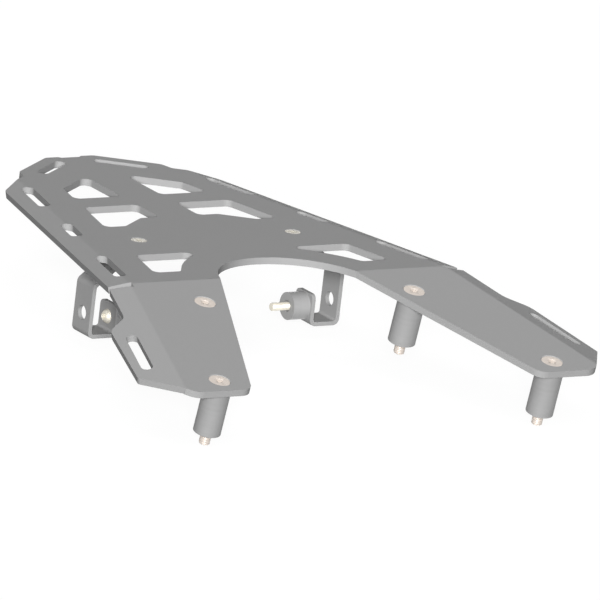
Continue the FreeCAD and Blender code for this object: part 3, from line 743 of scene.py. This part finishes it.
@dataclass
class Fastener:
    """Sizes that a screw or bolt is made from, in mm.

    The thread's depth is in pitches and the tip's chamfer in thread depths. The shares and the
    drilled cone's slope are in halves of the socket's width across its flats. Extra rings at the
    distance `edge` from the hexagon's ends keep them crisp, and a ring of the radius `pole`
    closes round each pole.
    """

    name: str
    node: str
    pose: Pose
    finish: Finish
    diameter: float
    length: float
    pitch: float
    thread_length: float
    across_flats: float
    socket_depth: float
    thread_depth: float = 0.36
    thread_lead: float = 0.3
    tip_chamfer: float = 1.05
    drill_slope: float = 0.25
    drill_share: float = 0.86
    lip_share: float = 1.02
    lip_hexagon: float = 0.96
    mouth_share: float = 1.19
    mouth_depth: float = 0.25
    edge: float = 0.05
    pole: float = 0.02
    sectors: int = 72
    rings_per_pitch: int = 8

    def head(self, profile: Profile) -> None:
        """Add the socket's and the head's rings, as far as the shank."""
        raise NotImplementedError

    def socket(self, profile: Profile, top: float) -> None:
        """Add the socket: a drilled cone, the hexagon's wall and its chamfered mouth.

        Args:
            profile: The profile, still empty.
            top: Height of the head's top.
        """
        half = self.across_flats / 2.0
        floor, lip = top - self.socket_depth, top - self.mouth_depth
        bottom = floor - self.drill_slope * half
        profile.ring(0.0, bottom)
        profile.ring(self.pole, bottom)
        profile.ring(half * self.drill_share, floor)
        profile.ring(half, floor, 1.0)
        profile.ring(half, floor + self.edge, 1.0)
        profile.ring(half, lip - self.edge, 1.0)
        profile.ring(half * self.lip_share, lip, self.lip_hexagon)
        profile.ring(half * self.mouth_share, top)

    def shank(self, profile: Profile) -> None:
        """Add the shank, its thread, the chamfered tip and the last pole.

        The thread's depth rises over one pitch at its start and falls to 0 along the tip's
        chamfer.

        Args:
            profile: The profile with the head's rings.
        """
        outer, tip = self.diameter / 2.0, -self.length
        depth = self.thread_depth * self.pitch
        chamfer = depth * self.tip_chamfer
        first = tip + self.thread_length
        profile.ring(outer, first + self.thread_lead)
        count = int((first - tip - chamfer) / self.pitch * self.rings_per_pitch)
        z = np.linspace(first, tip + chamfer, count)
        rise = np.clip((first - z) / self.pitch, 0.0, 1.0)
        profile.sweep(np.full(count, outer), z, depth * rise)
        cone = np.linspace(0.0, 1.0, 6)[1:]
        profile.sweep(
            outer - cone * chamfer, tip + chamfer - cone * chamfer, depth * (1.0 - cone)
        )
        profile.ring(self.pole, tip)
        profile.ring(0.0, tip)

    def build(self) -> None:
        """Build the fastener, dress it and put it in place of its node."""
        profile = Profile()
        self.head(profile)
        self.shank(profile)
        piece = pole_mesh(self.name, self.pose.carry(profile.grid(self.sectors, self.pitch)))
        dress(piece, self.finish.material())
        put_in(piece, Slot.SCREW, self.node)


@dataclass
class CountersunkScrew(Fastener):
    """Countersunk screw with a hexagon socket; its origin is on the head's top.

    Each of the rim's rings has its inset from the rim and its depth below the top.
    """

    head_diameter: float = 15.4
    land: float = 0.2
    neck: float = 0.25
    rim_rings: Rings = ((0.9, 0.0), (0.3, 0.0), (0.09, 0.06), (0.0, 0.16))

    def head(self, profile: Profile) -> None:
        """Add a flat top with a thin rounded rim, the land, the 90 degree cone and its neck.

        Args:
            profile: The empty profile.
        """
        self.socket(profile, 0.0)
        rim, outer = self.head_diameter / 2.0, self.diameter / 2.0
        for inset, depth in self.rim_rings:
            profile.ring(rim - inset, -depth)
        profile.ring(rim, -self.land)
        foot = -self.land - (rim - outer)
        profile.ring(outer + self.neck, foot + self.neck)
        profile.ring(outer, foot)


@dataclass
class ButtonBolt(Fastener):
    """Button-head bolt with a hexagon socket; its origin is on the head's seat.

    Each of the rim's rings has its inset from the rim and its height above the seat.
    """

    head_diameter: float = 10.5
    head_height: float = 3.3
    crown_diameter: float = 5.6
    dome_foot: float = 0.12
    dome_rings: int = 14
    neck: float = 0.2
    rim_rings: Rings = ((0.02, 0.05), (0.12, 0.0))

    def head(self, profile: Profile) -> None:
        """Add the crown, the dome and the seat.

        The dome is the circle about a point c on the axis through the rim and the crown:
        r = sqrt(R^2 - (z - c)^2).

        Args:
            profile: The empty profile.
        """
        self.socket(profile, self.head_height)
        rim, crown, top = self.head_diameter / 2.0, self.crown_diameter / 2.0, self.head_height
        centre = (top**2 + crown**2 - rim**2) / (2.0 * top)
        big = math.hypot(rim, centre)
        z = np.linspace(top, self.dome_foot, self.dome_rings)
        profile.sweep(np.sqrt(big**2 - (z - centre) ** 2), z)
        for inset, height in self.rim_rings:
            profile.ring(rim - inset, height)
        profile.ring(self.diameter / 2.0 + self.neck, 0.0)
        profile.ring(self.diameter / 2.0, -self.neck)


@dataclass
class LockNut:
    """Lock nut with chamfered flats and a round collar, in mm; its origin is on its bearing face.

    The bearing face and the cone's start are in halves of the width across the flats. The
    collar's foot has its spread and its depth. Each ring of the collar's edge has its inset from
    the collar's wall and its distance from the nut's end.
    """

    name: str
    node: str
    pose: Pose
    finish: Finish
    across_flats: float = 10.0
    flats_height: float = 4.6
    height: float = 6.0
    collar_diameter: float = 8.6
    bore: float = 6.05
    bore_chamfer: float = 0.35
    insert_depth: float = 0.35
    face_share: float = 0.95
    cone_share: float = 0.985
    collar_foot: tuple[float, float] = (0.12, 0.15)
    collar_edge: Rings = ((0.0, 0.5), (0.15, 0.12), (0.5, 0.0), (0.75, 0.15), (0.8, 0.3))
    sectors: int = 72

    def section(self, u: np.ndarray) -> list[tuple[Any, Any]]:
        """Radius and height of each ring around the wall's section.

        The flats' ends lie on a 30 degree cone: at a distance r from the axis they are
        (r - b) * tan(30 deg) short of the flats' full height, where b is the cone's start.

        Args:
            u: Angles of the sectors, in radians.

        Returns:
            The rings: a number where it is the same at all angles, or else an array.
        """
        half, hole, collar = self.across_flats / 2.0, self.bore / 2.0, self.collar_diameter / 2.0
        flats = half / np.cos(np.mod(u, np.pi / 3.0) - np.pi / 6.0)
        drop = (flats - half * self.cone_share) * math.tan(math.radians(30.0))
        face, foot, end = half * self.face_share, -self.flats_height, -self.height
        spread, depth = self.collar_foot
        return [
            (hole, -self.bore_chamfer),
            (hole + self.bore_chamfer, 0.0),
            (face, 0.0),
            (flats, -drop),
            (flats, foot + drop),
            (face, foot),
            (collar + spread, foot),
            (collar, foot - depth),
            *((collar - inset, end + rise) for inset, rise in self.collar_edge),
            (hole, end + self.insert_depth),
        ]

    def build(self) -> None:
        """Build the nut, dress it and put it in place of its node."""
        u = np.linspace(0.0, 2.0 * np.pi, self.sectors, endpoint=False)
        rings = self.section(u)
        radius, height = (np.stack([ring[n] * np.ones_like(u) for ring in rings]) for n in (0, 1))
        local = np.stack((radius * np.cos(u), radius * np.sin(u), height), axis=-1)
        piece = hoop_mesh(self.name, self.pose.carry(local))
        dress(piece, self.finish.material())
        put_in(piece, Slot.SCREW, self.node)


# Sub-assemblies


GREY = Colour(136, 136, 136)
STEEL = Colour(188, 179, 171)
BOLT_STEEL = Colour(214, 209, 196)
DECK_STEEL = Colour(160, 156, 146)
SPACER_GREY = Colour(135, 135, 135)
# The bushes' aluminium is lighter than the spacers' partly as their own paler tone and partly as
# painted light, which makes up for the shade that the deck casts over them.
BUSH_GREY_WITH_PAINTED_LIGHT = Colour(145, 145, 145)


def cad(node: str) -> Any:
    """Object of a CAD node."""
    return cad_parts[node]


@dataclass
class RackPlate:
    """The bent plate with its windows and slots."""

    node: str = "rack_plate"

    def build(self) -> None:
        """Dress the CAD plate."""
        dress(cad(self.node), SatinCoat("satin_coat", GREY).material())
        LOG.info("%s: dressed", self.node)


@dataclass
class ArmMounting:
    """The arms' four screws and the spacers below them, in mm."""

    bend_y: float = -98.0
    tilt: float = 12.0
    head_below: float = 0.3
    thickness: float = 5.0
    spacer_length: float = 36.0
    places: dict[str, tuple[float, float]] = field(
        default_factory=lambda: {"front": (139.0, 142.2), "rear": (87.6, 31.8)}
    )

    @property
    def turn(self) -> Matrix:
        """Tilt of the arms."""
        return Matrix.Rotation(math.radians(self.tilt), 3, "X")

    def spot(self, half_span: float, distance: float, depth: float, side: Side) -> Vector:
        """Point below an arm's top.

        Args:
            half_span: Distance from the centreline.
            distance: Distance from the front bend along the arm.
            depth: Distance below the arm's top.
            side: Side of the rack.

        Returns:
            The point in the row frame, in mm.
        """
        local = Vector((side.value * half_span, -distance, -depth))
        return self.turn @ local + Vector((0.0, self.bend_y, 0.0))

    def build(self) -> None:
        """Build the screws and dress the spacers."""
        angle = -math.radians(self.tilt)
        for end, (half_span, distance) in self.places.items():
            for side in Side:
                name = f"{end}_{side.word}"
                top = self.spot(half_span, distance, self.head_below, side)
                steel = ScrewSteel(
                    f"steel_screw_{name}", STEEL, centre=tuple(top * MM), turn_x=angle
                )
                CountersunkScrew(
                    name=f"screw_{name}",
                    node=f"arm_screw_{name}",
                    pose=Pose(tuple(top), self.turn),
                    finish=steel,
                    diameter=8.0,
                    length=50.0,
                    pitch=1.25,
                    thread_length=28.0,
                    across_flats=5.0,
                    socket_depth=3.0,
                ).build()
                below = self.spot(half_span, distance, self.thickness + self.spacer_length, side)
                turned = TurnedAluminium(
                    f"turned_spacer_{name}", SPACER_GREY, centre=tuple(below * MM), turn_x=angle
                )
                dress(cad(f"spacer_{name}"), turned.material())
                LOG.info("spacer_%s: dressed", name)


@dataclass
class BracketMounting:
    """One bracket under the deck with its screw, washer, nut, bolt and bush, in mm."""

    side: Side
    screw_x: float = 64.6
    screw_below: float = 0.2
    washer_top: float = -8.0
    washer_thickness: float = 1.6
    ear_x: float = 80.8
    strip_thickness: float = 3.0
    bolt_z: float = -55.5

    def build(self) -> None:
        """Build the fasteners and dress the bracket, the bush and the washer."""
        word, sign = self.side.word, self.side.value
        level = Matrix.Identity(3)
        strip = BrushedStrip(f"brushed_strip_{word}", GREY)
        dress(cad(f"bracket_{word}"), strip.material())
        top = (sign * self.screw_x, 0.0, -self.screw_below)
        centre = tuple(Vector(top) * MM)
        CountersunkScrew(
            name=f"screw_deck_{word}",
            node=f"deck_screw_{word}",
            pose=Pose(top, level),
            finish=ScrewSteel(f"steel_deck_{word}", DECK_STEEL, centre=centre),
            diameter=6.0,
            length=16.0,
            pitch=1.0,
            thread_length=11.0,
            across_flats=4.0,
            socket_depth=2.2,
            head_diameter=11.4,
        ).build()
        washer = NutSteel(f"steel_washer_{word}", STEEL, centre=centre)
        dress(cad(f"deck_washer_{word}"), washer.material())
        seat = (sign * self.screw_x, 0.0, self.washer_top - self.washer_thickness)
        LockNut(
            name=f"lock_nut_{word}",
            node=f"deck_nut_{word}",
            pose=Pose(seat, level),
            finish=NutSteel(f"steel_nut_{word}", STEEL, centre=centre),
        ).build()
        inner = self.ear_x + self.strip_thickness
        outwards = Matrix.Rotation(math.radians(90.0 * sign), 3, "Y")
        bolt_centre = (sign * inner * MM, 0.0, self.bolt_z * MM)
        across = -math.radians(90.0)
        ButtonBolt(
            name=f"bolt_{word}",
            node=f"bracket_bolt_{word}",
            pose=Pose((sign * inner, 0.0, self.bolt_z), outwards),
            finish=BoltSteel(
                f"steel_bolt_{word}", BOLT_STEEL, centre=bolt_centre, turn_y=across
            ),
            diameter=6.0,
            length=30.0,
            pitch=1.0,
            thread_length=24.0,
            across_flats=4.0,
            socket_depth=2.0,
        ).build()
        # The bush takes the lighter grey, which holds painted light standing in for the light that
        # the deck above keeps off it.
        bush = TurnedAluminium(
            f"turned_bush_{word}", BUSH_GREY_WITH_PAINTED_LIGHT, centre=bolt_centre, turn_y=across
        )
        dress(cad(f"bush_{word}"), bush.material())
        LOG.info("bracket, washer and bush %s: dressed", word)


# Studio


@dataclass(frozen=True)
class Lamp:
    """A far, soft lamp: where it stands as seen from the rack, its level and its softness.

    The azimuth goes from the front to the right and the elevation upwards, both in degrees. At
    level 1 a surface that faces the lamp shows its own colour. The softness is the lamp's width
    in degrees.
    """

    name: str
    azimuth: float
    elevation: float
    level: float
    softness: float

    def build(self) -> None:
        """Hang the lamp, turned towards the rack."""
        lamp = bpy.data.lights.new(self.name, "SUN")
        lamp.energy = self.level * math.pi
        lamp.angle = math.radians(self.softness)
        holder = bpy.data.objects.new(self.name, lamp)
        bpy.context.scene.collection.objects.link(holder)
        a, e = math.radians(self.azimuth), math.radians(self.elevation)
        towards = Vector((math.sin(a) * math.cos(e), -math.cos(a) * math.cos(e), math.sin(e)))
        holder.rotation_mode = "QUATERNION"
        holder.rotation_quaternion = towards.to_track_quat("Z", "Y")


LAMPS = (
    Lamp("front", -33.3, 15.3, 1.95, 12.0),
    Lamp("top", -28.0, 62.0, 0.52, 40.0),
    Lamp("under", 135.0, -60.0, 0.75, 40.0),
    Lamp("rear", 150.0, -8.0, 0.7, 40.0),
)


@dataclass
class Studio:
    """Floor, light and camera."""

    floor_z: float = -0.0796
    floor_half: float = 6.0
    paper: float = 0.07
    glow: float = 0.94
    seen_light: float = 0.97
    fill_light: float = 0.03
    aim: tuple[float, float, float] = (0.04845, -0.04404, -0.03712)
    right: tuple[float, float, float] = (0.84471, -0.52319, 0.11283)
    up: tuple[float, float, float] = (0.04734, 0.28301, 0.95795)
    width: float = 0.42668
    lens: float = 1700.0
    film: float = 36.0
    room_behind: float = 20.0

    def build(self) -> None:
        """Build the studio."""
        self.floor()
        self.world()
        for lamp in LAMPS:
            lamp.build()
        self.camera()

    def seen(self, book: NodeBook) -> Wire:
        """1 for rays from the camera, a reflection or a glass, and 0 for the rest."""
        camera, glossy, passed = (
            book.node("ShaderNodeLightPath", output=name)
            for name in ("Is Camera Ray", "Is Glossy Ray", "Is Transmission Ray")
        )
        return camera.largest(glossy).largest(passed)

    def floor(self) -> None:
        """Lay a pale floor with a faint shadow, which the camera sees as white from above only."""
        side = self.floor_half
        mesh = bpy.data.meshes.new("floor")
        corners = [(-side, -side), (side, -side), (side, side), (-side, side)]
        mesh.from_pydata([(x, y, self.floor_z) for x, y in corners], [], [(0, 1, 2, 3)])
        plane = bpy.data.objects.new("floor", mesh)
        bpy.context.scene.collection.objects.link(plane)
        material = bpy.data.materials.new("pale_floor")
        material.use_nodes = True
        book = NodeBook(material.node_tree)
        grey = (self.paper, self.paper, self.paper, 1.0)
        paper = book.node("ShaderNodeBsdfDiffuse", values={"Color": grey})
        glow = book.node("ShaderNodeEmission", values={"Color": WHITE, "Strength": self.glow})
        sheet = book.node("ShaderNodeAddShader", values={0: paper, 1: glow})
        shown = book.node("ShaderNodeMixShader", values={0: self.seen(book), 1: paper, 2: sheet})
        clear = book.node("ShaderNodeBsdfTransparent")
        behind = book.node("ShaderNodeNewGeometry", output="Backfacing")
        book.output(book.node("ShaderNodeMixShader", values={0: behind, 1: shown, 2: clear}))
        mesh.materials.append(material)
        plane.visible_shadow = False
        plane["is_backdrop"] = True

    def world(self) -> None:
        """Surround the scene with white for the camera and for reflections."""
        world = bpy.data.worlds.new("studio")
        bpy.context.scene.world = world
        world.use_nodes = True
        book = NodeBook(world.node_tree)
        level = self.seen(book) * self.seen_light + self.fill_light
        shader = book.node("ShaderNodeBackground", values={"Color": WHITE, "Strength": level})
        book.output(shader, "ShaderNodeOutputWorld")

    def camera(self) -> None:
        """Set the camera far off with a long lens, as the photograph has hardly any perspective.

        Its axes are right, up and back, each square to the others, and it stands back from the
        aim by the distance at which the frame is as wide as the stated width.
        """
        lens = bpy.data.cameras.new("camera")
        lens.sensor_width, lens.lens = self.film, self.lens
        distance = self.width * self.lens / self.film
        lens.clip_start, lens.clip_end = 1.0, distance + self.room_behind
        holder = bpy.data.objects.new("camera", lens)
        bpy.context.scene.collection.objects.link(holder)
        right = Vector(self.right).normalized()
        back = right.cross(Vector(self.up)).normalized()
        axes = Matrix((right, back.cross(right), back)).transposed()
        where = Vector(self.aim) + back * distance
        holder.matrix_world = Matrix.Translation(where) @ axes.to_4x4()
        bpy.context.scene.camera = holder


def write_sizes() -> None:
    """Log the sizes of the CAD model's box and the visual model's box."""
    boxes = {"cad": CAD_BOX, "visual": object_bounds()}
    for key, (low, high) in boxes.items():
        LOG.info("%s box: %s", key, [round((b - a) * 1000.0, 1) for a, b in zip(low, high)])


def main() -> None:
    """Build the rack's looks and the studio."""
    bpy.context.scene.view_settings.view_transform = "Standard"
    RackPlate().build()
    ArmMounting().build()
    for side in Side:
        BracketMounting(side).build()
    Studio().build()
    write_sizes()


if __name__ == "__main__":
    main()
